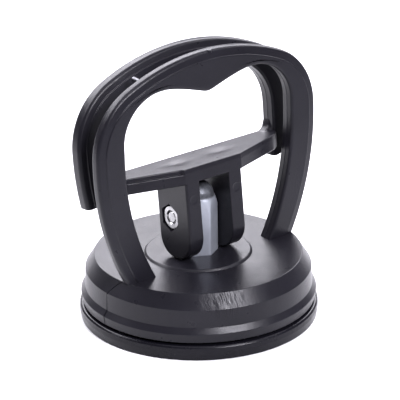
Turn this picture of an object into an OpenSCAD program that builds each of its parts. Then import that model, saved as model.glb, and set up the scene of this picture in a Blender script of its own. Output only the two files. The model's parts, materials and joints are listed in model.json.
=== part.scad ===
// Hand suction cup with a cam lever: a rubber disc under a round cap with a fixed arch handle.
// A hexagonal stem, screwed to a stud in the disc, is lifted when the lever is squeezed upright.
// Frame: +Z up, the disc's sealing face at z = 0, X across the handles, the lever on the +Y side.

/* [Suction disc] */
// Outer diameter of the rubber disc
disc_d = 57.4; // [56:0.2:58]
// Height of the disc's outer rim
disc_rim_h = 3.7; // [3.2:0.1:3.7]
// Height of the hollow under the disc while the lever holds it lifted
disc_hollow_h = 4.6; // [4.2:0.1:4.8]
// Width of the flat sealing ring
seal_w = 3.4; // [2.5:0.1:4]

/* [Cap] */
// Height of the cap's lower edge above the sealing face
cap_low_z = 4.25; // [4.2:0.05:4.5]
// Height of the cap's flat top at its outer edge
cap_top_z = 15.65; // [15.4:0.05:15.9]
// Diameter of the raised boss that the lever's cams press on
boss_d = 25.6; // [22:0.2:27]
// Height of the boss above the cap's top
boss_h = 0.8; // [0.5:0.1:0.8]

/* [Fixed handle] */
// Overall width of the fixed handle
fixed_w = 64.6; // [62:0.2:65]
// Height of the fixed handle's top above the sealing face
fixed_top_z = 67.7; // [66:0.1:69]
// Thickness of the fixed handle, front to back
fixed_t = 3.7; // [3.2:0.1:4]
// Depth of the finger nub under the fixed handle's top
nub_h = 3.1; // [0.5:0.1:3.5]

/* [Lever] */
// Overall width of the lever's arch
lever_w = 64; // [63:0.2:65]
// Height of the lever's top above its pivot
lever_top_h = 41.1; // [40:0.1:42]
// Thickness of the lever's arch, front to back
lever_t = 4.4; // [4:0.1:4.6]
// Thickness of each cam ear
ear_t = 3.9; // [3.6:0.1:3.9]
// Depth of each cam ear, front to back
ear_d = 12.2; // [11.5:0.1:12.3]
// Backward lean of the lever in its locked position, in degrees
lever_lean = 6; // [5:0.5:7]

/* [Stem and pivot] */
// Hexagonal stem, across its flats
stem_af = 8.5; // [7.8:0.1:8.5]
// Height of the pivot above the sealing face
pivot_z = 26.4; // [26.4:0.1:27]
// Diameter of the pivot bolt
bolt_d = 3; // [2.8:0.1:3]
// Pivot nut, across its flats
nut_af = 5.5; // [5:0.1:5.5]
// Diameter of the stop pin in the fixed handle
pin_d = 1.2; // [1:0.1:1.5]

/* [Hidden] */
$fn = 96;
eps = 0.01;

disc_r = disc_d / 2;
boss_r = boss_d / 2;
cap_dish = 0.25;
boss_z = cap_top_z - cap_dish + boss_h;

// Cap: outer profile radii step in from the disc's radius
cap_low_r = disc_r - 0.8;
cap_wide_r = disc_r - 0.4;
cap_wide_z = 6.5;
cap_ledge_r = disc_r - 1.35;
cap_ledge_z = 7.9;
cap_side_r = disc_r - 1.55;
cap_side_z = 12.2;
cap_top_r = disc_r - 3.75;
cap_wall = 2.3;
cap_roof = 2.3;
cap_slope_d = 0.6;
guide_r = 7;
guide_low_z = 10.8;
guide_gap = 0.15;
seat_r = 23.6;
seat_w = 1.6;
seat_z = disc_rim_h + 0.5;

// Fixed handle: flat front face, leaning slightly back
fixed_front_y = -6.03;
fixed_lean = 1.2;
fixed_base_z = 15;
fixed_end_z = 12.6;
fixed_leg_w = 7.7;
fixed_bar_h = 6.75;
nub_half_w = 12.5;
nub_tip_r = 1;
nub_curve = 1.4;
crown_n = 24;

// Arch outline shared by both handles: how far below the top its widest point and shoulders lie
wide_drop = 21.7;
shoulder_drop = 20.4;
side_r = 66;
window_r = 64.3;
shoulder_r = 17;
crown_r = 53;

// Lever, in its own frame: the pivot is the origin and the arch stands along +Z
lever_back_y = 4.6;
lever_leg_w = 7.1;
lever_bar_h = 8;
lever_leg_z = 7.3;
bar_low_z = 9.6;
bar_top_z = 13.4;
bar_half_w = 25;
bar_knee_x = 22.3;
bar_knee_y = -2.4;
bar_turn_x = 23.6;
bar_turn_d = 0.6;
bar_front_y = lever_back_y - ear_d;
ear_gap = 8.8;
ear_out_x = ear_gap / 2 + ear_t;
ear_low_z = -10;
ear_back_r = 5;
ear_front_r = 6.1;

// Stem and pivot
stem_low_z = 9.6;
stem_top_z = 33.9;
stem_corner_r = stem_af / 2 / cos(30);
stem_nose = [[stem_corner_r + 0.1, 27.8], [stem_af / 2, 30.4], [3.6, 32.2], [2.7, 33.2], [1.4, 33.75],
             [0, stem_top_z]];
stud_r = 2.5;
stud_top_z = 19.5;
stud_end_gap = 0.2;
flange_r = 7;
flange_z = 5.9;
flange_h = 1.4;
hub_r = 8.6;
hub_z = 9.4;
web_z = 7.1;
web_rise = 0.5;
web_x = 3;
rim_chamfer = 0.4;
rim_foot_r = disc_r - 0.3;
rim_bulge_z = 2;
foot_out = 0.8;
foot_in = 0.6;
fit_gap = 0.05;
bolt_r = bolt_d / 2;
head_r = 2.75;
head_h = 1.9;
head_gap = 0.35;
head_sink = 0.3;
key_r = 1.15;
key_depth = 1.1;
tip_sink = 0.55;
thread_gap = 0.02;
nut_h = 2.4;
pocket_depth = 2.8;
pocket_gap = 0.2;
head_x = ear_out_x - head_sink - head_h;
tip_x = tip_sink - ear_out_x;

// Stop pin, pressed into the back of the fixed handle
pin_x = -17.2;
pin_z = 63.3;
pin_front_y = -4.2;
pin_back_y = 1.5;

// Points on an arc around c, from angle a0 to a1, in n steps
function arc(c, r, a0, a1, n) =
    [for (i = [0:n]) c + r * [cos(a0 + (a1 - a0) * i / n), sin(a0 + (a1 - a0) * i / n)]];

// The same points mirrored across the Z axis, in reverse order
function mirrored(pts) = [for (i = [len(pts) - 1:-1:0]) [-pts[i][0], pts[i][1]]];

// Angle at which an arc of radius r, centred at height cz, reaches height z
function drop_angle(r, cz, z) = asin((z - cz) / r);

// Half of a handle's outer line, from its foot up: side arc, shoulder arc, then the crown
function half_arch(half_w, foot_z, top_z) =
    let (wide_z = top_z - wide_drop,
         turn_c = [half_w - shoulder_r, top_z - shoulder_drop],
         crown_c = [0, top_z - crown_r],
         meet = atan2(turn_c[1] - crown_c[1], turn_c[0]))
    concat(arc([half_w - side_r, wide_z], side_r, drop_angle(side_r, wide_z, foot_z), 0, 12),
           arc(turn_c, shoulder_r, 0, meet, 14),
           arc(crown_c, norm(turn_c - crown_c) + shoulder_r, meet + (90 - meet) / 10, 90, 9));

// Both halves joined into one U-shaped line
function whole_arch(half) = concat(half, [for (p = mirrored(half)) if (p[0] < -eps) p]);

// Half of a handle's inner line, from its foot up: side arc, then a corner of radius r
function half_window(half_w, foot_z, wide_z, top_z, r) =
    concat(arc([half_w - window_r, wide_z], window_r, drop_angle(window_r, wide_z, foot_z), 0, 12),
           arc([half_w - r, top_z - r], r, 0, 90, 14));

// Drop of the finger nub under the fixed handle's top, at distance x from its middle
function nub(x) =
    nub_h * pow(max(0, nub_half_w - norm([x, nub_tip_r])) / (nub_half_w - nub_tip_r), nub_curve);

fixed_half_w = fixed_w / 2;
fixed_in_w = fixed_half_w - fixed_leg_w;
fixed_in_r = 11.1;
fixed_in_z = fixed_top_z - fixed_bar_h;
fixed_wide_z = fixed_top_z - wide_drop;
fixed_outer = whole_arch(half_arch(fixed_half_w, fixed_end_z, fixed_top_z));
fixed_inner = whole_arch(concat(
    half_window(fixed_in_w, fixed_end_z, fixed_wide_z, fixed_in_z, fixed_in_r),
    [for (i = [1:crown_n])
        let (x = (fixed_in_w - fixed_in_r) * (1 - i / crown_n)) [x, fixed_in_z - nub(x)]]));

// Right half of the crossbar's outline seen from above, from its back to its front
lever_front_y = lever_back_y - lever_t;
bar_side = [[bar_half_w, lever_back_y], [bar_half_w, lever_front_y],
            [bar_turn_x, lever_front_y - bar_turn_d], [bar_knee_x, bar_knee_y], [ear_out_x, bar_front_y]];

lever_half_w = lever_w / 2;
lever_in_w = lever_half_w - lever_leg_w;
lever_in_r = 12.4;
lever_in_z = lever_top_h - lever_bar_h;
lever_wide_z = lever_top_h - wide_drop;
lever_outer = whole_arch(half_arch(lever_half_w, lever_leg_z, lever_top_h));
lever_inner = whole_arch(half_window(lever_in_w, lever_leg_z, lever_wide_z, lever_in_z, lever_in_r));

// A line and its way back joined into the outline of a U-shaped plate
function u_plate(outer, inner) = concat(outer, [for (i = [len(inner) - 1:-1:0]) inner[i]]);

// A plate drawn in the XZ plane, from y = y0 back to y = y0 + t
module plate(outline, y0, t) {
    translate([0, y0 + t, 0])
        rotate([90, 0, 0])
            linear_extrude(height = t)
                polygon(outline);
}

// A prism with six sides along Z, flats facing +X and -X
module hex_bar(af, h) {
    rotate([0, 0, 30])
        cylinder(r = af / 2 / cos(30), h = h, $fn = 6);
}

// Places its children in the frame of the leaning lever
module at_lever() {
    translate([0, 0, pivot_z])
        rotate([-lever_lean, 0, 0])
            children();
}

// Places its children in the frame of the fixed handle
module at_fixed() {
    translate([0, 0, fixed_base_z])
        rotate([-fixed_lean, 0, 0])
            translate([0, 0, -fixed_base_z])
                children();
}

module cap_solid() {
    rotate_extrude()
        polygon([[0, cap_low_z], [cap_low_r, cap_low_z], [cap_wide_r, cap_wide_z],
                 [cap_ledge_r, cap_ledge_z], [cap_side_r, cap_side_z], [cap_top_r, cap_top_z],
                 [boss_r, boss_z - boss_h], [boss_r, boss_z], [0, boss_z]]);
}

module cap_hollow() {
    in_low_r = cap_low_r - cap_wall;
    in_top_r = cap_side_r - cap_wall;
    roof_z = cap_top_z - cap_roof;
    rotate_extrude()
        polygon([[0, 0], [in_low_r, 0], [in_low_r, cap_wide_z], [in_top_r, cap_ledge_z + cap_slope_d],
                 [in_top_r, roof_z], [seat_r, roof_z], [seat_r, seat_z],
                 [seat_r - seat_w, seat_z], [seat_r - seat_w, roof_z], [guide_r, roof_z],
                 [guide_r, guide_low_z], [0, guide_low_z]]);
}

module pin_solid() {
    translate([pin_x, pin_front_y, pin_z])
        rotate([-90, 0, 0])
            cylinder(d = pin_d, h = pin_back_y - pin_front_y);
}

module housing() {
    color([0.16, 0.16, 0.17])
        difference() {
            union() {
                cap_solid();
                at_fixed()
                    plate(u_plate(fixed_outer, fixed_inner), fixed_front_y, fixed_t);
            }
            cap_hollow();
            hex_bar(stem_af + 2 * guide_gap, boss_z + 1);
            pin_solid();
        }
}

// Outline of one cam ear in the YZ plane: flat front and back, rounded at its foot
module ear_outline() {
    front_y = bar_front_y;
    polygon(concat([[lever_back_y, bar_low_z + 1]],
                   arc([lever_back_y - ear_back_r, ear_low_z + ear_back_r], ear_back_r, 0, -90, 16),
                   arc([front_y + ear_front_r, ear_low_z + ear_front_r], ear_front_r, -90, -180, 12),
                   [[front_y, bar_low_z + 1]]));
}

module cam_ear(side) {
    translate([side > 0 ? ear_gap / 2 : -ear_out_x, 0, 0])
        rotate([90, 0, 90])
            linear_extrude(height = ear_t)
                ear_outline();
}

module crossbar() {
    translate([0, 0, bar_low_z])
        linear_extrude(height = bar_top_z - bar_low_z)
            polygon(concat(bar_side, mirrored(bar_side)));
}

module lever() {
    color([0.18, 0.18, 0.19])
        at_lever()
            difference() {
                union() {
                    plate(u_plate(lever_outer, lever_inner), lever_front_y, lever_t);
                    crossbar();
                    cam_ear(1);
                    cam_ear(-1);
                }
                rotate([0, 90, 0])
                    cylinder(r = bolt_r + fit_gap, h = 2 * ear_out_x + 2, center = true);
                translate([-ear_out_x - 1, 0, 0])
                    rotate([0, 90, 0])
                        cylinder(r = nut_af / 2 / cos(30) + pocket_gap, h = pocket_depth + 1, $fn = 6);
                translate([head_x, 0, 0])
                    rotate([0, 90, 0])
                        cylinder(r = head_r + head_gap, h = head_h + 1);
            }
}

module stem() {
    color([0.7, 0.72, 0.75])
        difference() {
            intersection() {
                translate([0, 0, stem_low_z])
                    hex_bar(stem_af, stem_top_z - stem_low_z);
                rotate_extrude()
                    polygon(concat([[0, stem_low_z], [stem_corner_r + 0.1, stem_low_z]], stem_nose));
            }
            translate([0, 0, stem_low_z - 1])
                cylinder(r = stud_r, h = stud_top_z - stem_low_z + 1);
            translate([0, 0, pivot_z])
                rotate([0, 90, 0])
                    cylinder(r = bolt_r + fit_gap, h = 2 * stem_af, center = true);
        }
}

// Stud and its moulded-in flange; grow widens it all round to cut the rubber's pocket
module stud_solid(grow) {
    translate([0, 0, flange_z - grow])
        cylinder(r = flange_r + grow, h = flange_h + 2 * grow);
    translate([0, 0, flange_z])
        cylinder(r = stud_r + grow, h = stud_top_z - stud_end_gap - flange_z);
}

module disc_stud() {
    color([0.6, 0.6, 0.62])
        stud_solid(0);
}

// Height of the disc's underside at radius r: a smooth dome inside the flat sealing ring
function under_z(r) =
    let (edge = disc_r - seal_w, t = min(max((r - hub_r) / (edge - hub_r), 0), 1))
    disc_hollow_h * pow(cos(90 * t), 2);

module suction_disc() {
    dome_n = 20;
    edge_r = disc_r - seal_w;
    color([0.07, 0.07, 0.07])
        difference() {
            rotate_extrude()
                polygon(concat(
                    [[0, hub_z], [0, under_z(0)]],
                    [for (i = [0:dome_n])
                        let (r = hub_r + (edge_r - hub_r) * i / dome_n) [r, under_z(r)]],
                    [[rim_foot_r, 0], [disc_r, rim_bulge_z], [disc_r, disc_rim_h - rim_chamfer],
                     [disc_r - rim_chamfer, disc_rim_h],
                     [seat_r + foot_out, disc_rim_h], [seat_r, seat_z],
                     [seat_r - seat_w - foot_in, seat_z], [hub_r + web_x, web_z],
                     [hub_r, web_z + web_rise], [hub_r, hub_z]]));
            stud_solid(fit_gap);
        }
}

module pivot_bolt() {
    color([0.8, 0.8, 0.82])
        at_lever()
            difference() {
                union() {
                    translate([tip_x, 0, 0])
                        rotate([0, 90, 0])
                            cylinder(r = bolt_r, h = head_x + 1 - tip_x);
                    translate([head_x, 0, 0])
                        rotate([0, 90, 0])
                            cylinder(r = head_r, h = head_h);
                }
                translate([head_x + head_h - key_depth, 0, 0])
                    rotate([0, 90, 0])
                        cylinder(r = key_r, h = key_depth + 1, $fn = 6);
            }
}

module pivot_nut() {
    color([0.85, 0.85, 0.87])
        at_lever()
            translate([pocket_depth - nut_h - ear_out_x, 0, 0])
                rotate([0, 90, 0])
                    difference() {
                        cylinder(r = nut_af / 2 / cos(30), h = nut_h, $fn = 6);
                        translate([0, 0, -1])
                            cylinder(r = bolt_r + thread_gap, h = nut_h + 2);
                    }
}

module stop_pin() {
    color([0.85, 0.85, 0.87])
        pin_solid();
}

housing();
lever();
stem();
disc_stud();
suction_disc();
pivot_bolt();
pivot_nut();
stop_pin();
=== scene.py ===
"""Looks of a hand vacuum suction cup with a cam lever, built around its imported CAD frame.

Lengths in the mesh code are millimetres in the row frame and are scaled to metres at the end.
Lengths in the materials, the lights and the camera are metres.
"""

import json
from math import asin, atan2, cos, degrees, exp, hypot, pi, radians, sin, sqrt, tan

import bmesh
import bpy
from mathutils import Matrix, Vector


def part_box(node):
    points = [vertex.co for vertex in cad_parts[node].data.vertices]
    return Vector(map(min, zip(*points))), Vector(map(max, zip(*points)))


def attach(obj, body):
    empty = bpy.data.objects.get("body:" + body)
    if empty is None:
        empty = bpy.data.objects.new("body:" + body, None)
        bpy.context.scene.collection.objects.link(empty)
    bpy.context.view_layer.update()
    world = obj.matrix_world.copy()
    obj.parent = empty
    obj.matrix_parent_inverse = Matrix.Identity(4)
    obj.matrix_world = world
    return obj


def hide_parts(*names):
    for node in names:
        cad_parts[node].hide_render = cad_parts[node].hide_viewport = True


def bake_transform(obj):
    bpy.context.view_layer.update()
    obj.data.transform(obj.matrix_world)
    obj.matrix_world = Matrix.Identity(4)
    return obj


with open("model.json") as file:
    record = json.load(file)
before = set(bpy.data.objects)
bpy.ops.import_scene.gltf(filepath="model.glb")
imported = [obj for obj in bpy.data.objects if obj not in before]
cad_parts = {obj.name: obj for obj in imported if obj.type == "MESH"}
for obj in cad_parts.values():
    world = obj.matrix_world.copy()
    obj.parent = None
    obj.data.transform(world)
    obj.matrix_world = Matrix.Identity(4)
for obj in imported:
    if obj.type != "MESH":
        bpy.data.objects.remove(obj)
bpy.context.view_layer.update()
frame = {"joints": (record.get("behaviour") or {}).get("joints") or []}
MM = 0.001


def size_of(node):
    """A CAD node's lowest and highest corner, in millimetres."""
    lo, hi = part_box(node)
    return lo / MM, hi / MM


HINGE = next(j for j in frame["joints"] if j["name"] == "lever_hinge")
PIVOT_Z = HINGE["pos_m"][2] / MM
LEVER_LEAN = 6.0
FIXED_LEAN = 1.2
FIXED_BASE_Z = 15.0

stem_lo, stem_hi = size_of("stem")
pin_lo, pin_hi = size_of("stop_pin")
DISC_R = size_of("suction_disc")[1].x
FIXED_HALF = size_of("housing")[1].x
LEVER_HALF = size_of("lever")[1].x
STUD_TOP = size_of("disc_stud")[1].z
STEM_AF = stem_hi.x - stem_lo.x
# The bolt's bore through the lever's ears and the stem
BORE_R = 1.55

LEVER_PLACE = Matrix.Translation((0, 0, PIVOT_Z)) @ Matrix.Rotation(-radians(LEVER_LEAN), 4, "X")
FIXED_PLACE = (
    Matrix.Translation((0, 0, FIXED_BASE_Z))
    @ Matrix.Rotation(-radians(FIXED_LEAN), 4, "X")
    @ Matrix.Translation((0, 0, -FIXED_BASE_Z))
)

# Where the camera looks from: the angle round from the front, the angle above the floor, the roll
AZ, EL, ROLL = radians(-37.424), radians(22.835), radians(0.794)
level_right = Vector((cos(AZ), sin(AZ), 0))
cam_back = Vector((sin(AZ) * cos(EL), -cos(AZ) * cos(EL), sin(EL)))
level_up = cam_back.cross(level_right)
cam_right = level_right * cos(ROLL) - level_up * sin(ROLL)
cam_up = level_right * sin(ROLL) + level_up * cos(ROLL)
toward_cam = Vector((sin(AZ), -cos(AZ), 0))


# ---------------------------------------------------------------- 2D helpers


def arc(cx, cy, r, a0, a1, n):
    """Points on an arc from angle a0 to a1, in degrees."""
    angles = [radians(a0 + (a1 - a0) * i / n) for i in range(n + 1)]
    return [(cx + r * cos(t), cy + r * sin(t)) for t in angles]


def thin_out(points, gap):
    """The same closed line without points that are nearer than gap to their neighbour."""
    out = [points[0]]
    for p in points[1:]:
        if hypot(p[0] - out[-1][0], p[1] - out[-1][1]) > gap:
            out.append(p)
    if hypot(out[0][0] - out[-1][0], out[0][1] - out[-1][1]) <= gap:
        out.pop()
    return out


def rounded(corners, n=6, closed=True):
    """A polygon of (x, y, radius) corners with each corner turned into an arc."""
    out = []
    count = len(corners)
    for i, (x, y, r) in enumerate(corners):
        if r <= 0 or (not closed and i in (0, count - 1)):
            out.append((x, y))
            continue
        px, py, _ = corners[i - 1]
        qx, qy, _ = corners[(i + 1) % count]
        a, b = Vector((px - x, py - y)), Vector((qx - x, qy - y))
        la, lb = a.length, b.length
        a.normalize()
        b.normalize()
        half = a.angle(b) / 2
        cut = min(r / tan(half), 0.49 * la, 0.49 * lb)
        rr = cut * tan(half)
        mid = (a + b).normalized()
        c = Vector((x, y)) + mid * (rr / sin(half))
        s, e = Vector((x, y)) + a * cut - c, Vector((x, y)) + b * cut - c
        a0 = atan2(s.y, s.x)
        turn = atan2(s.x * e.y - s.y * e.x, s.dot(e))
        for k in range(n + 1):
            t = a0 + turn * k / n
            out.append((c.x + rr * cos(t), c.y + rr * sin(t)))
    return out


def mirrored(half):
    """A line's right half with its left half added; the half ends on the middle."""
    return half + [(-x, z) for x, z in reversed(half[:-1])]


def even_angles(n):
    """Angles of n points all the way round."""
    return [2 * pi * i / n for i in range(n)]


def hex_radius(flat, a, turn=0):
    """Distance from the middle to a hexagon's side at the angle a. flat is the distance square to a
    side, and one side faces the angle turn, which is in degrees."""
    return flat / cos(radians((degrees(a) + 30 - turn) % 60 - 30))


def smooth(t):
    """A soft step from 0 to 1."""
    t = min(max(t, 0.0), 1.0)
    return t * t * (3 - 2 * t)


# ---------------------------------------------------------------- mesh helpers


def mesh_object(name, verts, faces):
    """An object with a cleaned mesh."""
    mesh = bpy.data.meshes.new(name)
    mesh.from_pydata([tuple(v) for v in verts], [], faces)
    bm = bmesh.new()
    bm.from_mesh(mesh)
    bmesh.ops.remove_doubles(bm, verts=bm.verts, dist=1e-5)
    bmesh.ops.dissolve_degenerate(bm, edges=bm.edges, dist=1e-6)
    bmesh.ops.recalc_face_normals(bm, faces=bm.faces)
    bm.to_mesh(mesh)
    bm.free()
    obj = bpy.data.objects.new(name, mesh)
    bpy.context.scene.collection.objects.link(obj)
    return obj


def ring_faces(rings, count, wrap=False):
    """Quads between rings of count points each; wrap joins the last ring to the first."""
    faces = []
    for k in range(rings if wrap else rings - 1):
        a, b = k * count, ((k + 1) % rings) * count
        for i in range(count):
            j = (i + 1) % count
            faces.append((a + i, a + j, b + j, b + i))
    return faces


def end_faces(rings, count):
    """Faces that close the first and the last of the rings."""
    return [tuple(range(k * count, (k + 1) * count)) for k in (0, rings - 1)]


def swept(name, verts, rings, count):
    """A closed body of rings of count points each, with both of its ends closed."""
    return mesh_object(name, verts, ring_faces(rings, count) + end_faces(rings, count))


def stacked(name, levels, count, place):
    """A swept body with a ring round an axis for each level. place(level, angle) gives a point."""
    verts = [place(level, a) for level in levels for a in even_angles(count)]
    return swept(name, verts, len(levels), count)


def along_x(x, r, a):
    """The point at the angle a on a ring of radius r round the X axis."""
    return (x, r * sin(a), r * cos(a))


def edged_plate(name, outline, edge, place):
    """A plate with a shaped edge. outline is a closed line of (u, v), edge a profile of
    (inset, depth) from one face to the other, and place maps (u, v, depth) to a point."""
    n = len(outline)
    verts = []
    for inset, depth in edge:
        for k in range(n):
            p, q, s = Vector(outline[k - 1]), Vector(outline[k]), Vector(outline[(k + 1) % n])
            e1, e2 = (q - p).normalized(), (s - q).normalized()
            n1, n2 = Vector((e1.y, -e1.x)), Vector((e2.y, -e2.x))
            m = (n1 + n2).normalized()
            m = m / max(m.dot(n1), 0.7)
            u, v = q - m * inset
            verts.append(place(u, v, depth))
    return swept(name, verts, len(edge), n)


def turned(name, profile, angles, radius=None, closed=True):
    """A body of revolution round Z. profile is a line of (r, z), and radius(r, z, angle), where
    it is given, changes the r of a point."""
    verts = []
    for a in angles:
        for r, z in profile:
            if radius:
                r = radius(r, z, a)
            verts.append((r * cos(a), r * sin(a), z))
    count = len(profile)
    faces = []
    turns = len(angles)
    for k in range(turns):
        a, b = k * count, ((k + 1) % turns) * count
        for i in range(count if closed else count - 1):
            j = (i + 1) % count
            faces.append((a + i, b + i, b + j, a + j))
    return mesh_object(name, verts, faces)


def evaluated(obj):
    """Puts the object's modifiers into its mesh."""
    graph = bpy.context.evaluated_depsgraph_get()
    mesh = bpy.data.meshes.new_from_object(obj.evaluated_get(graph))
    obj.modifiers.clear()
    old = obj.data
    obj.data = mesh
    bpy.data.meshes.remove(old)
    return obj


def combine(obj, other, how):
    """Joins or cuts a solid with another one, and drops the other one."""
    mod = obj.modifiers.new("combine", "BOOLEAN")
    mod.operation = how
    mod.solver = "EXACT"
    mod.object = other
    evaluated(obj)
    bpy.data.objects.remove(other)
    return obj


def joined(name, objects):
    """One object that holds the meshes of several."""
    bm = bmesh.new()
    for o in objects:
        bm.from_mesh(o.data)
        bpy.data.objects.remove(o)
    mesh = bpy.data.meshes.new(name)
    bm.to_mesh(mesh)
    bm.free()
    obj = bpy.data.objects.new(name, mesh)
    bpy.context.scene.collection.objects.link(obj)
    return obj


def ready(obj, matrix, material, body, sharp=32, nodes=()):
    """Places a piece, shades it and hands it to the frame."""
    obj.data.transform(Matrix.Scale(MM, 4) @ matrix)
    mesh = obj.data
    mesh.polygons.foreach_set("use_smooth", [True] * len(mesh.polygons))
    mesh.set_sharp_from_angle(angle=radians(sharp))
    weighted = obj.modifiers.new("weighted", "WEIGHTED_NORMAL")
    weighted.keep_sharp = True
    weighted.weight = 90
    mesh.materials.clear()
    mesh.materials.append(material)
    if body:
        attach(obj, body)
    if nodes:
        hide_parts(*nodes)
    return obj


# ---------------------------------------------------------------- materials


class Nodes:
    """A small builder for a Principled material."""

    def __init__(self, name):
        self.mat = bpy.data.materials.new(name)
        self.mat.use_nodes = True
        self.tree = self.mat.node_tree
        self.shader = self.tree.nodes["Principled BSDF"]
        self.coords = self.tree.nodes.new("ShaderNodeTexCoord").outputs["Object"]

    def link(self, a, b):
        self.tree.links.new(a, b)

    def mapped(self, scale, turn=(0, 0, 0)):
        node = self.tree.nodes.new("ShaderNodeMapping")
        node.inputs["Scale"].default_value = scale
        node.inputs["Rotation"].default_value = turn
        self.link(self.coords, node.inputs["Vector"])
        return node.outputs["Vector"]

    def noise(self, scale, detail=3.0, rough=0.55, vector=None):
        node = self.tree.nodes.new("ShaderNodeTexNoise")
        node.inputs["Scale"].default_value = scale
        node.inputs["Detail"].default_value = detail
        node.inputs["Roughness"].default_value = rough
        self.link(vector or self.coords, node.inputs["Vector"])
        return node.outputs["Fac"]

    def ramp(self, value, low, high, out_low=0.0, out_high=1.0):
        node = self.tree.nodes.new("ShaderNodeMapRange")
        node.inputs["From Min"].default_value = low
        node.inputs["From Max"].default_value = high
        node.inputs["To Min"].default_value = out_low
        node.inputs["To Max"].default_value = out_high
        self.link(value, node.inputs["Value"])
        return node.outputs["Result"]

    def maths(self, how, a, b):
        node = self.tree.nodes.new("ShaderNodeMath")
        node.operation = how
        for socket, value in zip(node.inputs, (a, b)):
            if isinstance(value, (int, float)):
                socket.default_value = value
            else:
                self.link(value, socket)
        return node.outputs["Value"]

    def near(self, point, full, gone):
        """1 within the distance full of a point, falling to 0 at the distance gone."""
        node = self.tree.nodes.new("ShaderNodeVectorMath")
        node.operation = "DISTANCE"
        node.inputs[1].default_value = point
        self.link(self.coords, node.inputs[0])
        return self.ramp(node.outputs["Value"], full, gone, 1.0, 0.0)

    def strokes(self, scale, low, high):
        """Short parallel scratches."""
        vector = self.mapped((1, 0.07, 0.07), (radians(20), radians(-30), radians(-64)))
        return self.ramp(self.noise(scale, 2, 0.5, vector), low, high)

    def colour(self, value, stops):
        node = self.tree.nodes.new("ShaderNodeValToRGB")
        while len(node.color_ramp.elements) < len(stops):
            node.color_ramp.elements.new(0.5)
        for element, (at, rgb) in zip(node.color_ramp.elements, stops):
            element.position = at
            element.color = (*rgb, 1)
        self.link(value, node.inputs["Fac"])
        return node.outputs["Color"]

    def between(self, value, low, high):
        """A colour that goes from low to high over the middle of a noise."""
        return self.colour(value, [(0.3, low), (0.7, high)])

    def bump(self, height, distance, strength=1.0, normal=None):
        node = self.tree.nodes.new("ShaderNodeBump")
        node.inputs["Strength"].default_value = strength
        node.inputs["Distance"].default_value = distance
        self.link(height, node.inputs["Height"])
        if normal:
            self.link(normal, node.inputs["Normal"])
        return node.outputs["Normal"]

    def put(self, name, value):
        socket = self.shader.inputs[name]
        if isinstance(value, (int, float, tuple)):
            socket.default_value = value
        else:
            self.link(value, socket)


# The middle of the scuffed spot on the cap's slope
SCUFF_AT = (-0.0112, -0.0236, 0.0142)


def abs_plastic():
    """Black moulded plastic with a soft grain, hairlines and a scuffed spot on the cap."""
    m = Nodes("black_abs")
    tone = m.between(m.noise(70, 4), (0.0118, 0.0112, 0.0152), (0.0162, 0.0155, 0.0208))
    m.put("Base Color", tone)
    scuff = m.maths("MULTIPLY", m.near(SCUFF_AT, 0.0028, 0.0062), m.strokes(5200, 0.54, 0.66))
    patches = m.ramp(m.noise(260, 5, 0.6), 0.3, 0.7, 0.27, 0.35)
    m.put("Roughness", m.maths("ADD", patches, m.maths("MULTIPLY", scuff, 0.16)))
    sink = m.bump(m.noise(60, 1, 0.4), 0.00012, 0.3)
    grain = m.bump(m.noise(3400, 2, 0.7), 0.00004, 1.0, sink)
    hairlines = m.bump(m.strokes(1500, 0.68, 0.78), 0.000012, 0.4, grain)
    m.put("Normal", m.bump(scuff, 0.00006, 1.0, hairlines))
    m.put("IOR", 1.36)
    return m.mat


def rubber():
    """Black moulded rubber, smoother than the plastic."""
    m = Nodes("black_rubber")
    tone = m.between(m.noise(120, 4), (0.0055, 0.0052, 0.0085), (0.0085, 0.0080, 0.0120))
    m.put("Base Color", tone)
    m.put("Roughness", m.ramp(m.noise(420, 5, 0.6), 0.3, 0.7, 0.2, 0.3))
    wave = m.bump(m.noise(150, 3, 0.5), 0.00008, 0.3)
    m.put("Normal", m.bump(m.noise(4200, 4, 0.65), 0.00001, 0.6, wave))
    m.put("IOR", 1.33)
    return m.mat


def plated(name, low, high, rough, streak, metal=1.0, dark_above=None):
    """Plated metal with faint draw lines; above the height dark_above it is bare, darker and
    rougher."""
    m = Nodes(name)
    tone = m.between(m.noise(240, 5, 0.6), low, high)
    lines = m.noise(2600, 3, 0.6, m.mapped((1, 1, 0.03)))
    patches = m.ramp(m.noise(800, 4), 0.3, 0.7, rough, rough + 0.12)
    surface = m.maths("ADD", patches, m.ramp(lines, 0.5, 0.8, 0, 0.1))
    if dark_above:
        split = m.tree.nodes.new("ShaderNodeSeparateXYZ")
        m.link(m.coords, split.inputs["Vector"])
        bare = m.ramp(split.outputs["Z"], dark_above, dark_above + 0.0005)
        bare_tone = m.between(m.noise(900, 4, 0.6), (0.07, 0.074, 0.083), (0.17, 0.178, 0.195))
        mix = m.tree.nodes.new("ShaderNodeMix")
        mix.data_type = "RGBA"
        # A Mix node has sockets for every data type: 0 is the factor, 6 and 7 are the colours
        m.link(bare, mix.inputs[0])
        m.link(tone, mix.inputs[6])
        m.link(bare_tone, mix.inputs[7])
        tone = mix.outputs[2]
        surface = m.maths("ADD", surface, m.maths("MULTIPLY", bare, 0.10))
    m.put("Base Color", tone)
    m.put("Metallic", metal)
    m.put("Roughness", surface)
    soft = m.bump(m.noise(420, 3, 0.5), 0.00005, 0.3)
    m.put("Normal", m.bump(lines, 0.00001, streak, soft))
    return m.mat


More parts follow.
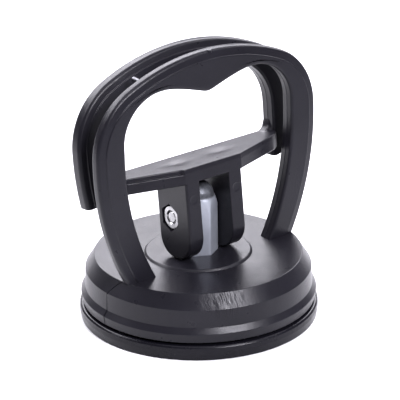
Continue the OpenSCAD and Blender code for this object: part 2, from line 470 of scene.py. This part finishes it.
def floor_with_painted_light():
    """Pale paper with a painted pool of light: its colour is painted darker away from the object,
    standing in for the light falling off.
    """
    m = Nodes("floor_painted_light_pool")
    middle = toward_cam * -0.13 - cam_right * 0.09
    # Painted light pool: the base colour is bright within the pool and painted darker beyond it, as
    # painted shade
    reach = m.near(tuple(middle), 0.18, 0.31)
    mottle = m.ramp(m.noise(6, 3), 0.3, 0.7, -0.02, 0.02)
    stops = [(0.0, (0.26, 0.26, 0.27)), (1.0, (0.88, 0.88, 0.88))]
    m.put("Base Color", m.colour(m.maths("ADD", reach, mottle), stops))
    m.put("Roughness", m.ramp(m.noise(40, 3), 0.3, 0.7, 0.75, 0.85))
    return m.mat


ABS = abs_plastic()
RUBBER = rubber()
STEM_METAL = plated(
    "plated_steel",
    low=(0.42, 0.445, 0.495),
    high=(0.51, 0.535, 0.59),
    rough=0.36,
    streak=0.5,
    metal=0.6,
    dark_above=0.0300,
)
ZINC = plated(
    "bright_steel", low=(0.26, 0.26, 0.265), high=(0.42, 0.42, 0.42), rough=0.2, streak=0.4
)
PIN_STEEL = plated(
    "pin_steel", low=(0.09, 0.09, 0.10), high=(0.16, 0.16, 0.17), rough=0.34, streak=0.4
)


# ---------------------------------------------------------------- handles

# The arcs of a handle's lines: drops are below its top
WIDE_DROP, SHOULDER_DROP = 21.7, 20.4
SIDE_R, WINDOW_R, SHOULDER_R, CROWN_R = 66.0, 64.3, 17.0, 53.0
SIDE_STEPS, TURN_STEPS, TOP_STEPS = 44, 40, 60

# The finger nub under the fixed handle's crown
NUB_DROP, NUB_HALF, NUB_TIP = 3.1, 12.5, 1.0

# Each handle's sizes in its own upright frame
FIXED_TOP, FIXED_FOOT, FIXED_FRONT_Y, FIXED_THICK = 67.7, 13.9, -6.03, 3.7
LEVER_TOP, LEVER_FOOT, LEVER_BACK_Y, LEVER_THICK = 41.1, 7.3, 4.6, 4.4


def side_arc(cx, cy, r, low):
    """A leg's side line from its foot up to its widest point, with closer points near the foot."""
    angles = [low * (1 - (i / SIDE_STEPS) ** 1.5) for i in range(SIDE_STEPS + 1)]
    return [(cx + r * cos(radians(a)), cy + r * sin(radians(a))) for a in angles]


def outer_half(half_w, foot, top):
    """Right half of a handle's outer line, from its foot up to the middle of its crown."""
    turn = (half_w - SHOULDER_R, top - SHOULDER_DROP)
    crown = top - CROWN_R
    meet = degrees(atan2(turn[1] - crown, turn[0]))
    reach = hypot(turn[0], turn[1] - crown) + SHOULDER_R
    low = degrees(asin((foot - top + WIDE_DROP) / SIDE_R))
    return (
        side_arc(half_w - SIDE_R, top - WIDE_DROP, SIDE_R, low)
        + arc(turn[0], turn[1], SHOULDER_R, 0, meet, TURN_STEPS)[1:]
        + arc(0, crown, reach, meet, 90, TOP_STEPS)[1:]
    )


def inner_half(half_w, foot, wide, top, corner, nub=0.0):
    """Right half of a handle's inner line, from its foot up to the middle of its top. wide is the
    height of its widest point, and nub how far the middle of its top comes down."""
    low = degrees(asin((foot - wide) / WINDOW_R))
    line = side_arc(half_w - WINDOW_R, wide, WINDOW_R, low)
    line += arc(half_w - corner, top - corner, corner, 0, 90, TURN_STEPS)[1:]
    start = half_w - corner
    for i in range(1, TOP_STEPS + 1):
        x = start * (1 - i / TOP_STEPS)
        drop = nub * (max(0.0, NUB_HALF - hypot(x, NUB_TIP)) / (NUB_HALF - NUB_TIP)) ** 1.4
        line.append((x, top - drop))
    return line


def front_turn(r, centre, angles):
    """The rounding of an edge's front corner, as (inset, depth), about a centre at that depth."""
    return [(r - r * sin(t), centre - r * cos(t)) for t in angles]


def back_turn(r, thick, angles, inset=0.0):
    """The rounding of an edge's back corner, which ends on the back face at the depth thick."""
    return [(inset + r - r * cos(t), thick - r + r * sin(t)) for t in angles]


def edge_profiles(thick, border, rim, back, inner):
    """The handle's outer and inner edge, as (inset, depth) from the front face to the back face.
    The outer one steps down from the raised face to a sloping border and turns round the rim; the
    inner one has the parting line in its middle."""
    step, fall, tilt = 0.24, 0.22, 14
    turn = step + fall + rim
    outer = [(border + 0.30, 0), (border + 0.10, 0), (border + 0.04, 0.02), (border, 0.06)]
    outer += [(border - 0.09, step - 0.04), (border - 0.13, step), (border - 0.2, step + 0.02)]
    outer += front_turn(rim, turn, [radians(a) for a in range(tilt, 91, 9)])
    outer.append((0, turn))
    outer += back_turn(back, thick, [radians(a) for a in range(0, 91, 15)])
    outer.append((back + 0.4, thick))
    middle, heel = thick / 2, 0.45
    inside = [(inner + 0.5, 0)]
    inside += front_turn(inner, inner, [radians(a) for a in range(0, 79, 13)])
    inside += [(0.02, middle - 0.25), (0.0, middle - 0.07), (-0.05, middle), (0.0, middle + 0.07)]
    inside += back_turn(heel, thick, [radians(a) for a in range(0, 91, 15)], inset=0.12)
    inside.append((heel + 0.6, thick))
    return outer, inside


def normals(line, sign):
    """The direction square to a line at each of its points, away from the handle's middle for the
    outer line (sign 1) and into the window for the inner one (sign -1)."""
    out = []
    for i in range(len(line)):
        p, q = Vector(line[max(i - 1, 0)]), Vector(line[min(i + 1, len(line) - 1)])
        run = (q - p).normalized()
        out.append(Vector((run.y, -run.x)) * sign)
    return out


def handle(name, outer, inner, edges, front_y, foot_round=0.0, foot_edge=0.0):
    """An arch swept from foot to foot. outer and inner are the right halves of its two lines, point
    for point; foot_round rounds the outer corner of each foot and foot_edge softens its end."""
    foot = outer[0][1]
    trimmed = []
    for x, z in outer:
        rise = max(foot + foot_round - z, 0.0)
        trimmed.append((x - foot_round + sqrt(max(foot_round**2 - rise**2, 0.0)), z))
    outer_full, inner_full = mirrored(trimmed), mirrored(inner)
    outer_normals, inner_normals = normals(mirrored(outer), 1), normals(inner_full, -1)
    first, second = edges
    verts = []
    for k in range(len(outer_full)):
        o, i = Vector(outer_full[k]), Vector(inner_full[k])
        ring = [(o - outer_normals[k] * inset, depth) for inset, depth in reversed(first)]
        ring += [(i - inner_normals[k] * inset, depth) for inset, depth in second]
        points = [Vector((p.x, front_y + d, p.y)) for p, d in ring]
        rise = (outer_full[k][1] + inner_full[k][1]) / 2 - foot
        if rise < foot_edge:
            centre = sum(points, Vector()) / len(points)
            pull = foot_edge - sqrt(max(foot_edge**2 - (foot_edge - max(rise, 0.0)) ** 2, 0.0))
            points = [p + (centre - p).normalized() * pull for p in points]
        verts += points
    return swept(name, verts, len(outer_full), len(first) + len(second))


fixed_handle = handle(
    "fixed_handle",
    outer_half(FIXED_HALF, FIXED_FOOT, FIXED_TOP),
    inner_half(
        FIXED_HALF - 7.7, FIXED_FOOT, FIXED_TOP - WIDE_DROP, FIXED_TOP - 6.75, 11.1, NUB_DROP
    ),
    edge_profiles(FIXED_THICK, border=2.15, rim=0.95, back=1.45, inner=0.7),
    FIXED_FRONT_Y,
)
fixed_handle.data.transform(FIXED_PLACE)
lever_arch = handle(
    "lever_arch",
    outer_half(LEVER_HALF, LEVER_FOOT, LEVER_TOP),
    inner_half(LEVER_HALF - 7.1, LEVER_FOOT, LEVER_TOP - WIDE_DROP, LEVER_TOP - 8.0, 12.4),
    edge_profiles(LEVER_THICK, border=2.0, rim=1.0, back=1.5, inner=0.7),
    LEVER_BACK_Y - LEVER_THICK,
    foot_round=0.4,
    foot_edge=0.3,
)


# ---------------------------------------------------------------- cap

# The guide's flats from the middle, and the radii of the slope's top and foot and of the wall
HEX_CLEAR = STEM_AF / 2 + 0.15
CAP_TOP_R, CAP_RIDGE_R, CAP_LEDGE_R = DISC_R - 3.75, DISC_R - 1.55, DISC_R - 1.35
CAP_WIDE_R, CAP_LOW_R = DISC_R - 0.4, DISC_R - 0.8
# Heights of the boss and of the slope's top and foot, then the inside: the wall's thickness, the
# hollow's ceiling, the ring foot and the guide
BOSS_Z, TOP_Z, RIDGE_Z = 16.2, 15.65, 12.2
WALL, HOLLOW_Z, FOOT_Z, GUIDE_Z, GUIDE_R = 2.3, 13.35, 4.3, 10.8, 7.0
FOOT_IN, FOOT_OUT = 22.0, 23.6
# The mould line's groove in the wall: half its width in degrees, and its depth
SEAM_HALF, SEAM_DEEP = 0.5, 0.30


def cap_angles():
    """Even angles, with two more on each side for the edges of the mould line's groove."""
    fine = [i * 360 / 240 for i in range(240)]
    fine += [a + d for a in (0, 180) for d in (-SEAM_HALF, SEAM_HALF)]
    return [radians(a) for a in sorted(fine)]


def cap():
    """The cap with its boss, its hexagonal guide and its ring foot on the disc."""
    profile = rounded(
        [
            (HEX_CLEAR, BOSS_Z, 0.15),
            (12.5, BOSS_Z, 0.40),
            (12.95, TOP_Z - 0.03, 0.12),
            (CAP_TOP_R, TOP_Z, 0.25),
            (CAP_RIDGE_R, RIDGE_Z, 0.10),
            (CAP_LEDGE_R, 7.9, 0.25),
            (CAP_WIDE_R, 6.5, 0.30),
            (CAP_LOW_R, 4.25, 0.15),
            (CAP_LOW_R - WALL, 4.25, 0.2),
            (CAP_LOW_R - WALL, 6.6, 0),
            (CAP_RIDGE_R - WALL, 8.5, 0),
            (CAP_RIDGE_R - WALL, HOLLOW_Z, 0.6),
            (FOOT_OUT, HOLLOW_Z, 0.3),
            (FOOT_OUT, FOOT_Z, 0.2),
            (FOOT_IN, FOOT_Z, 0.2),
            (FOOT_IN, HOLLOW_Z, 0.3),
            (GUIDE_R, HOLLOW_Z, 0.3),
            (GUIDE_R, GUIDE_Z, 0.2),
            (HEX_CLEAR, GUIDE_Z, 0.15),
        ],
        5,
    )

    def radius(r, z, a):
        """The guide is a hexagon, and the wall has the mould line's groove at its two sides."""
        if r < HEX_CLEAR + 0.2:
            return hex_radius(r, a)
        turn = degrees(a) % 180
        if r > CAP_LEDGE_R - 1 and 4.4 < z < RIDGE_Z - 0.05 and min(turn, 180 - turn) < 0.01:
            return r - SEAM_DEEP
        return r

    return turned("cap", profile, cap_angles(), radius)


def seam_cutter(side):
    """A thin curved blade that cuts the mould line over the cap's slope, from its side to the
    handle's foot."""
    steps, half, depth, foot_y = 14, 0.65, 0.28, 2.9
    out_flat, out_up = 0.84, 0.54
    verts = []
    for i in range(-1, steps + 1):
        t = i / steps
        r = CAP_RIDGE_R + (CAP_TOP_R - CAP_RIDGE_R) * t
        z = RIDGE_Z + (TOP_Z - RIDGE_Z) * t
        a = asin(-foot_y * max(t, 0.0) ** 1.15 / r)
        across = Vector((-sin(a), cos(a), 0))
        out = Vector((cos(a) * out_flat, sin(a) * out_flat, out_up))
        p = Vector((cos(a) * r, sin(a) * r, z))
        for q in (p - across * half + out, p + across * half + out, p - out * depth):
            verts.append((side * q.x, q.y, q.z))
    return swept("seam_cutter", verts, steps + 2, 3)


def gate_mark():
    """The broken stub of the moulding gate on the crown of the fixed handle."""
    x, y = 0.9, FIXED_FRONT_Y + 0.95
    mark = stacked(
        "gate_mark",
        [(0.75, -0.70), (0.68, -0.08), (0.55, -0.02), (0.42, 0.01), (0.22, -0.01), (0.10, -0.03)],
        24,
        lambda level, a: (
            x + level[0] * cos(a) * (1 + 0.12 * sin(3 * a)),
            y + 0.8 * level[0] * sin(a),
            FIXED_TOP + level[1],
        ),
    )
    mark.data.transform(FIXED_PLACE)
    return mark


cap_body = cap()
for side in (-1, 1):
    combine(cap_body, seam_cutter(side), "DIFFERENCE")
housing = joined("housing_shell", [cap_body, fixed_handle, gate_mark()])
ready(housing, Matrix.Identity(4), ABS, "base", nodes=["housing"])


# ---------------------------------------------------------------- lever

BAR_LOW, BAR_TOP, BAR_TURN = 9.6, 13.4, 1.5
EAR_OUT, EAR_IN, EAR_FRONT = 8.3, 4.4, -7.6
EAR_LOW, EAR_TOP, CAM_BACK_R, CAM_FRONT_R = -10.0, 10.6, 5, 6.1
# Where the bar's front turns into the leg's, where its top meets the leg, the ledge along its
# front, and the sink marks over the ears
KNEE_X, KNEE_Y, TURN_R = 21.6, -2.66, 8.6
LEG_X, FILLET = 24.7, 2.6
LEDGE_Z, LEDGE_DEEP, LEDGE_RUN = 12.3, 0.52, 0.8
SINK, SINK_X, SINK_Y = 0.26, 6.2, -1.6
NUT_AF, NUT_FACE, NUT_BACK = 5.5, -EAR_OUT + 0.4, -EAR_OUT + 2.8
NUT_R = NUT_AF / 2 / cos(radians(30))


def bar_front(x):
    """Front of the crossbar at distance x from the middle: flush with the ears, then receding to
    the leg and turning into its front face."""
    x = abs(x)
    if x <= EAR_OUT:
        return EAR_FRONT
    slope = (KNEE_Y - EAR_FRONT) / (KNEE_X - EAR_OUT)
    if x <= KNEE_X:
        return EAR_FRONT + slope * (x - EAR_OUT)
    start = atan2(slope, 1)
    heading = asin(min(sin(start) + (x - KNEE_X) / TURN_R, 0.95))
    return KNEE_Y + TURN_R * (cos(start) - cos(heading))


def bar_section(x):
    """Closed cross-section of the crossbar at x, as (y, z). Its top is slightly sunk over the ears
    and rises in a fillet to the lever's leg; its front has a small ledge left of the ears. Its back
    is a little in front of the leg's at its ends, so that the two don't lie in one plane."""
    front = bar_front(x)
    back = LEVER_BACK_Y - 0.04 * smooth((abs(x) - 24.6) / 0.6)
    beside = smooth((-x - EAR_OUT) / 0.7)
    step = 0.03 + LEDGE_DEEP * beside * smooth((KNEE_X + 1.0 + x) / 2.5)
    lower = rounded(
        [
            (back, BAR_LOW + 2, 0),
            (back, BAR_LOW, 0.45),
            (front, BAR_LOW, 0.4),
            (front, LEDGE_Z, 0.30),
            (front + step, LEDGE_Z + 0.03, 0.05 * beside + 0.02),
            (front + step + 0.10, BAR_TOP, 0.30),
            (front + step + LEDGE_RUN, BAR_TOP, 0),
        ],
        6,
        closed=False,
    )
    top = []
    for i in range(15):
        y = front + step + LEDGE_RUN + (back - 1.7 - front - step - LEDGE_RUN) * i / 14
        sunk = SINK * exp(-(((abs(x) - SINK_X) / 2.8) ** 2) - ((y - SINK_Y) / 1.5) ** 2)
        top.append((y, BAR_TOP - sunk))
    for a in range(10, 91, 10):
        y = back - BAR_TURN + BAR_TURN * sin(radians(a))
        top.append((y, BAR_TOP - BAR_TURN + BAR_TURN * cos(radians(a))))
    t = min(max((abs(x) - (LEG_X - FILLET)) / FILLET, 0.0), 1.0)
    lift = FILLET * (1 - sqrt(1 - t * t))
    out = []
    for y, z in lower + top:
        raised = lift * smooth((y - 0.1) / 2.0) if z > BAR_TOP - 1.0 else 0.0
        out.append((y, z + raised))
    return out


def crossbar():
    """The lever's crossbar, with closer sections at its ends and beside the ears."""
    stations = [-26.2 + 0.2 * i for i in range(26)]
    stations += [-21.2 + (21.2 - 9.0) * i / 24 for i in range(1, 25)]
    stations += [-EAR_OUT - 0.1 * i for i in range(6, -1, -1)]
    stations += [-EAR_OUT + EAR_OUT * i / 10 for i in range(1, 11)]
    stations += [-s for s in reversed(stations[:-1])]
    sections = [bar_section(x) for x in stations]
    verts = [(x, y, z) for x, s in zip(stations, sections) for y, z in s]
    return swept("crossbar", verts, len(stations), len(sections[0]))


def small_edge(thick, front_r, back_r, n=5):
    """A plain edge rounded on its front and its back, as (inset, depth)."""
    angles = [pi / 2 * i / n for i in range(n + 1)]
    line = front_turn(front_r, front_r, angles) + back_turn(back_r, thick, angles)
    return [(front_r + 0.05, 0)] + line + [(front_r + 0.05, thick)]


def ear(side):
    """One of the lever's two ears, whose rounded lower end is the cam."""
    outline = [(LEVER_BACK_Y, EAR_TOP)]
    outline += arc(LEVER_BACK_Y - CAM_BACK_R, EAR_LOW + CAM_BACK_R, CAM_BACK_R, 0, -90, 20)
    outline += arc(EAR_FRONT + CAM_FRONT_R, EAR_LOW + CAM_FRONT_R, CAM_FRONT_R, -90, -180, 20)
    outline.append((EAR_FRONT, EAR_TOP))
    edge = small_edge(EAR_OUT - EAR_IN, 0.6, 0.22)
    return edged_plate(
        "ear",
        thin_out(outline[::-1], 0.01),
        edge,
        lambda y, z, depth: (side * (EAR_OUT - depth), y, z),
    )


def prism(name, radius, sides, x0, x1, flare=0.0):
    """A prism or cylinder along X; flare widens its outer end (x0) over a short chamfer."""
    rings = [(x0, radius + flare), (x1, radius)]
    if flare:
        rings.insert(1, (x0 + (0.45 if x1 > x0 else -0.45), radius))
    return stacked(name, rings, sides, lambda ring, a: along_x(*ring, a))


def ejector_mark(x, z):
    """A faint raised disc on the front of an ear, left by an ejector pin. Its rings are (radius,
    depth), and it is open where it is sunk in."""
    rings = [(1.36, 0.05), (1.35, -0.012), (1.30, -0.03), (1.20, -0.03)]
    rings += [(1.14, -0.004), (0.6, -0.004)]
    n = 48
    verts = [
        (x + r * cos(a), EAR_FRONT + d, z + r * sin(a)) for r, d in rings for a in even_angles(n)
    ]
    faces = ring_faces(len(rings), n) + end_faces(len(rings), n)[1:]
    return mesh_object("ejector_mark", verts, faces)


bar = crossbar()
for side in (1, -1):
    combine(bar, ear(side), "UNION")
combine(bar, prism("bore", BORE_R, 48, -12, 12), "DIFFERENCE")
combine(bar, prism("pocket", NUT_R + 0.2, 6, -EAR_OUT - 0.3, NUT_BACK, 0.3), "DIFFERENCE")
combine(bar, prism("recess", 3.1, 64, EAR_OUT + 0.3, EAR_OUT - 2.2, 0.3), "DIFFERENCE")
marks = [ejector_mark(-6.35, 5.6), ejector_mark(6.35, 5.6)]
lever = joined("lever_shell", [lever_arch, bar] + marks)
ready(lever, LEVER_PLACE, ABS, "lever_arm", nodes=["lever"])


# ---------------------------------------------------------------- stem, nut, bolt, pin, stud

# The bolt's shank, head and socket, and where its thread begins
BOLT_R, HEAD_R, SOCKET_FLAT = 1.5, 2.75, 0.99
THREAD_X = -EAR_OUT + 3.0


def stem():
    """Hexagonal rod with softened corners, a chamfered shoulder and a two-step turned nose."""
    low, top = stem_lo.z, stem_hi.z
    nose = [
        (27.4, 5.0),
        (27.8, 4.83),
        (28.7, 4.58),
        (29.6, 4.32),
        (30.3, 4.12),
        (30.45, 4.02),
        (30.6, 3.90),
        (31.2, 3.80),
        (31.75, 3.68),
        (31.9, 3.58),
        (32.3, 3.35),
        (32.8, 2.92),
        (33.2, 2.45),
        (33.5, 1.95),
        (33.72, 1.35),
        (33.85, 0.7),
    ]
    shoulder, chamfer, steps = nose[0][0], 0.25, 12
    levels = [(low, 4.35), (low + chamfer, 4.8)]
    for i in range(1, steps):
        levels.append((low + chamfer + (shoulder - low - chamfer) * i / steps, 5.2))
    levels += nose
    flat, corner = STEM_AF / 2, STEM_AF / 2 / cos(radians(30)) - 0.12
    n = 180
    verts = []
    for z, limit in levels:
        for a in even_angles(n):
            r = min(hex_radius(flat, a), corner, limit)
            verts.append((r * cos(a), r * sin(a), z))
    faces = ring_faces(len(levels), n) + end_faces(len(levels), n)[:1]
    tip = len(verts)
    verts.append((0, 0, top))
    last = (len(levels) - 1) * n
    faces += [(last + i, last + (i + 1) % n, tip) for i in range(n)]
    return mesh_object("stem_rod", verts, faces)


def pivot_bore():
    """Round cutter along X through the pivot, for the bolt's clearance bore in the stem."""
    return stacked(
        "bore", (-8, 8), 64, lambda x, a: (x, BORE_R * sin(a), PIVOT_Z + BORE_R * cos(a))
    )


def threaded(name, x0, x1, r, pitch, depth, chamfer):
    """A threaded cylinder along X, from its plain end x0 to its chamfered end x1."""
    steps = max(8, int(abs(x1 - x0) / 0.06))

    def place(x, a):
        wave = abs(((x / pitch + a / (2 * pi)) % 1.0) * 2 - 1)
        return along_x(x, min(r - depth * wave, r - max(0.0, chamfer - abs(x1 - x))), a)

    return stacked(name, [x0 + (x1 - x0) * k / steps for k in range(steps + 1)], 72, place)


def nut():
    """Hexagonal nut with corners turned down on both faces and a countersunk hole."""
    hole, corner = BOLT_R + 0.02, NUT_R + 0.02
    levels = [
        (NUT_BACK, hole),
        (NUT_BACK, NUT_R - 0.42),
        (NUT_BACK - 0.30, corner),
        (NUT_FACE + 0.34, corner),
        (NUT_FACE, NUT_R - 0.46),
        (NUT_FACE, hole + 0.28),
        (NUT_FACE + 0.28, hole),
    ]
    n = 120
    verts = [
        along_x(x, min(hex_radius(NUT_AF / 2, a, 30), limit), a)
        for x, limit in levels
        for a in even_angles(n)
    ]
    return mesh_object("nut_body", verts, ring_faces(len(levels), n, wrap=True))


def bolt():
    """Button-head bolt: its threaded end shows inside the nut, its socket head in the other ear."""
    tip_x, head_x = -EAR_OUT + 0.55, EAR_OUT - 0.3 - 1.9
    shank = threaded("shank", THREAD_X + 0.2, tip_x, BOLT_R, pitch=0.5, depth=0.12, chamfer=0.28)
    profile = rounded(
        [
            (BOLT_R, THREAD_X, 0),
            (BOLT_R, -3.0, 0),
            (BOLT_R, head_x, 0.1),
            (HEAD_R, head_x, 0.12),
            (HEAD_R, head_x + 0.5, 0.3),
            (2.35, head_x + 1.55, 0.5),
            (1.7, head_x + 1.9, 0.3),
            (1.32, head_x + 1.9, 0.06),
            (1.2, head_x + 1.75, 0.0),
        ],
        5,
        closed=False,
    )
    rings = [(x, r, False) for r, x in profile]
    rings += [(head_x + depth, SOCKET_FLAT, True) for depth in (1.7, 0.8)]

    def place(ring, a):
        x, r, in_socket = ring
        return along_x(x, hex_radius(r, a, 30) if in_socket else r, a)

    return joined("bolt_body", [shank, stacked("head", rings, 96, place)])


def pin():
    """Short steel pin with a domed end, standing out of the handle's back."""
    x, z, r = (pin_lo.x + pin_hi.x) / 2, (pin_lo.z + pin_hi.z) / 2, (pin_hi.z - pin_lo.z) / 2
    y0, y1 = pin_lo.y, pin_hi.y
    levels = [(y0, r), (y1 - 0.35, r), (y1 - 0.2, r * 0.96), (y1 - 0.08, r * 0.84), (y1, r * 0.6)]
    return stacked(
        "pin_body",
        levels,
        48,
        lambda level, a: (x + level[1] * cos(a), level[0], z + level[1] * sin(a)),
    )


def stud():
    """The flanged stud in the middle of the rubber disc."""
    flange_r, flange_z, flange_top, stud_r = 7, 5.9, 7.3, 2.5
    profile = rounded(
        [
            (0, flange_z, 0),
            (flange_r, flange_z, 0.2),
            (flange_r, flange_top, 0.2),
            (stud_r, flange_top, 0.3),
            (stud_r, STUD_TOP, 0.3),
            (0, STUD_TOP, 0),
        ],
        4,
        closed=False,
    )
    return turned("stud_body", profile, even_angles(96), closed=False)


rod = combine(stem(), pivot_bore(), "DIFFERENCE")
ready(rod, Matrix.Identity(4), STEM_METAL, "plunger", sharp=18, nodes=["stem"])
ready(nut(), LEVER_PLACE, ZINC, "lever_arm", sharp=20, nodes=["pivot_nut"])
ready(bolt(), LEVER_PLACE, ZINC, "lever_arm", sharp=24, nodes=["pivot_bolt"])
ready(pin(), Matrix.Identity(4), PIN_STEEL, "base", sharp=35, nodes=["stop_pin"])
ready(stud(), Matrix.Identity(4), ZINC, "plunger", nodes=["disc_stud"])


# ---------------------------------------------------------------- rubber disc

# The web ends at WEB_R and laps WEB_LAP into the rim; the hub's underside and top
WEB_R = DISC_R - 3.4
HUB_R, HUB_LOW, HUB_TOP = 8.6, 4.6, 9.35
WEB_LAP = 0.3


def under(r):
    """Height of the disc's underside at the radius r: a dome from the hub down to the rim."""
    t = min(max((r - HUB_R) / (WEB_R - HUB_R), 0.0), 1.0)
    return HUB_LOW * cos(pi / 2 * t) ** 2


def disc_rim():
    """The disc's flat sealing ring with its rounded edge."""
    r = DISC_R
    profile = rounded(
        [
            (WEB_R, 0.0, 0.05),
            (r - 0.3, 0.0, 0.25),
            (r, 2.0, 0.8),
            (r - 0.05, 3.15, 0.25),
            (r - 0.45, 3.62, 0.45),
            (r - 1.6, 3.7, 0.2),
            (WEB_R, 3.9, 0.1),
        ],
        6,
    )
    return turned("suction_disc_rim", profile, even_angles(240))


def disc_web():
    """The disc's middle, from the hub round the stud to a lap inside the rim."""
    lap_r, lap_z, steps = WEB_R + WEB_LAP, 3.6, 30
    lower = [(0.0, under(0))]
    for i in range(steps + 1):
        r = HUB_R + (WEB_R - HUB_R) * i / steps
        lower.append((r, under(r)))
    lower += [(lap_r, 0.02), (lap_r, lap_z)]
    upper = rounded(
        [
            (lap_r, lap_z, 0),
            (23.4, 4.2, 0.2),
            (21.5, 4.2, 0.3),
            (11.6, 7.1, 1.0),
            (HUB_R, 7.5, 0.4),
            (HUB_R, HUB_TOP, 0.4),
            (0.0, HUB_TOP, 0),
        ],
        5,
        closed=False,
    )
    return turned("suction_disc_web", lower + upper[1:], even_angles(180), closed=False)


rim = disc_rim()
ready(rim, Matrix.Identity(4), RUBBER, "base", nodes=["suction_disc"])
web = disc_web()
ready(web, Matrix.Identity(4), RUBBER, None)
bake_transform(web)


# ---------------------------------------------------------------- camera, stage and light

# In metres: the floor's radius, and the height that the light boxes face
FLOOR_R = 3.0
AIM_Z = 0.03
PANEL_TINT = (0.985, 0.97, 1.04)

scene = bpy.context.scene

cam_data = bpy.data.cameras.new("camera")
cam_data.sensor_width = 36
cam_data.lens = 288
cam_data.clip_start = 0.05
cam_data.clip_end = 20
camera = bpy.data.objects.new("camera", cam_data)
scene.collection.objects.link(camera)
turn = Matrix((cam_right, cam_up, cam_back)).transposed().to_4x4()
spot = (cam_right * 0.2177 + cam_up * 26.509 + cam_back * 773.27) * MM
camera.matrix_world = Matrix.Translation(spot) @ turn
scene.camera = camera

floor_ring = [(FLOOR_R * cos(a), FLOOR_R * sin(a), 0) for a in even_angles(128)]
floor = mesh_object("floor", floor_ring, [tuple(range(128))])
floor.data.materials.append(floor_with_painted_light())


def panel(name, around, above, away, width, height, strength):
    """A soft light box that faces the object. around is its angle from the camera's side, to the
    right, and above its height angle, both in degrees."""
    a, e = radians(around), radians(above)
    out = (toward_cam * cos(a) + level_right * sin(a)) * cos(e) + Vector((0, 0, sin(e)))
    side = Vector((0, 0, 1)).cross(out).normalized()
    rise = out.cross(side)
    centre = out * away + Vector((0, 0, AIM_Z))
    corners = [
        centre + side * (sx * width / 2) + rise * (sz * height / 2)
        for sx, sz in ((-1, -1), (1, -1), (1, 1), (-1, 1))
    ]
    obj = mesh_object(name, corners, [(0, 1, 2, 3)])
    mat = bpy.data.materials.new(name)
    mat.use_nodes = True
    tree = mat.node_tree
    tree.nodes.clear()
    glow = tree.nodes.new("ShaderNodeEmission")
    glow.inputs["Strength"].default_value = strength
    glow.inputs["Color"].default_value = (*PANEL_TINT, 1)
    surface = tree.nodes.new("ShaderNodeOutputMaterial").inputs["Surface"]
    tree.links.new(glow.outputs["Emission"], surface)
    obj.data.materials.append(mat)
    obj.visible_camera = False


panel("light_right", 38, 38, away=0.8, width=0.34, height=0.20, strength=42.0)
panel("light_side", 96, 45, away=0.8, width=0.22, height=0.14, strength=10.0)
panel("light_left", -110, 43, away=0.8, width=0.46, height=0.30, strength=11.0)
panel("light_back", 180, 34, away=1.0, width=1.9, height=0.60, strength=8.0)
panel("light_top", -20, 76, away=0.9, width=0.6, height=0.6, strength=2.4)

world = bpy.data.worlds.new("world")
world.use_nodes = True
sky = world.node_tree.nodes["Background"]
sky.inputs["Color"].default_value = (0.97, 0.95, 1.045, 1)
sky.inputs["Strength"].default_value = 0.17
scene.world = world
scene.view_settings.view_transform = "Standard"
scene.view_settings.gamma = 0.9
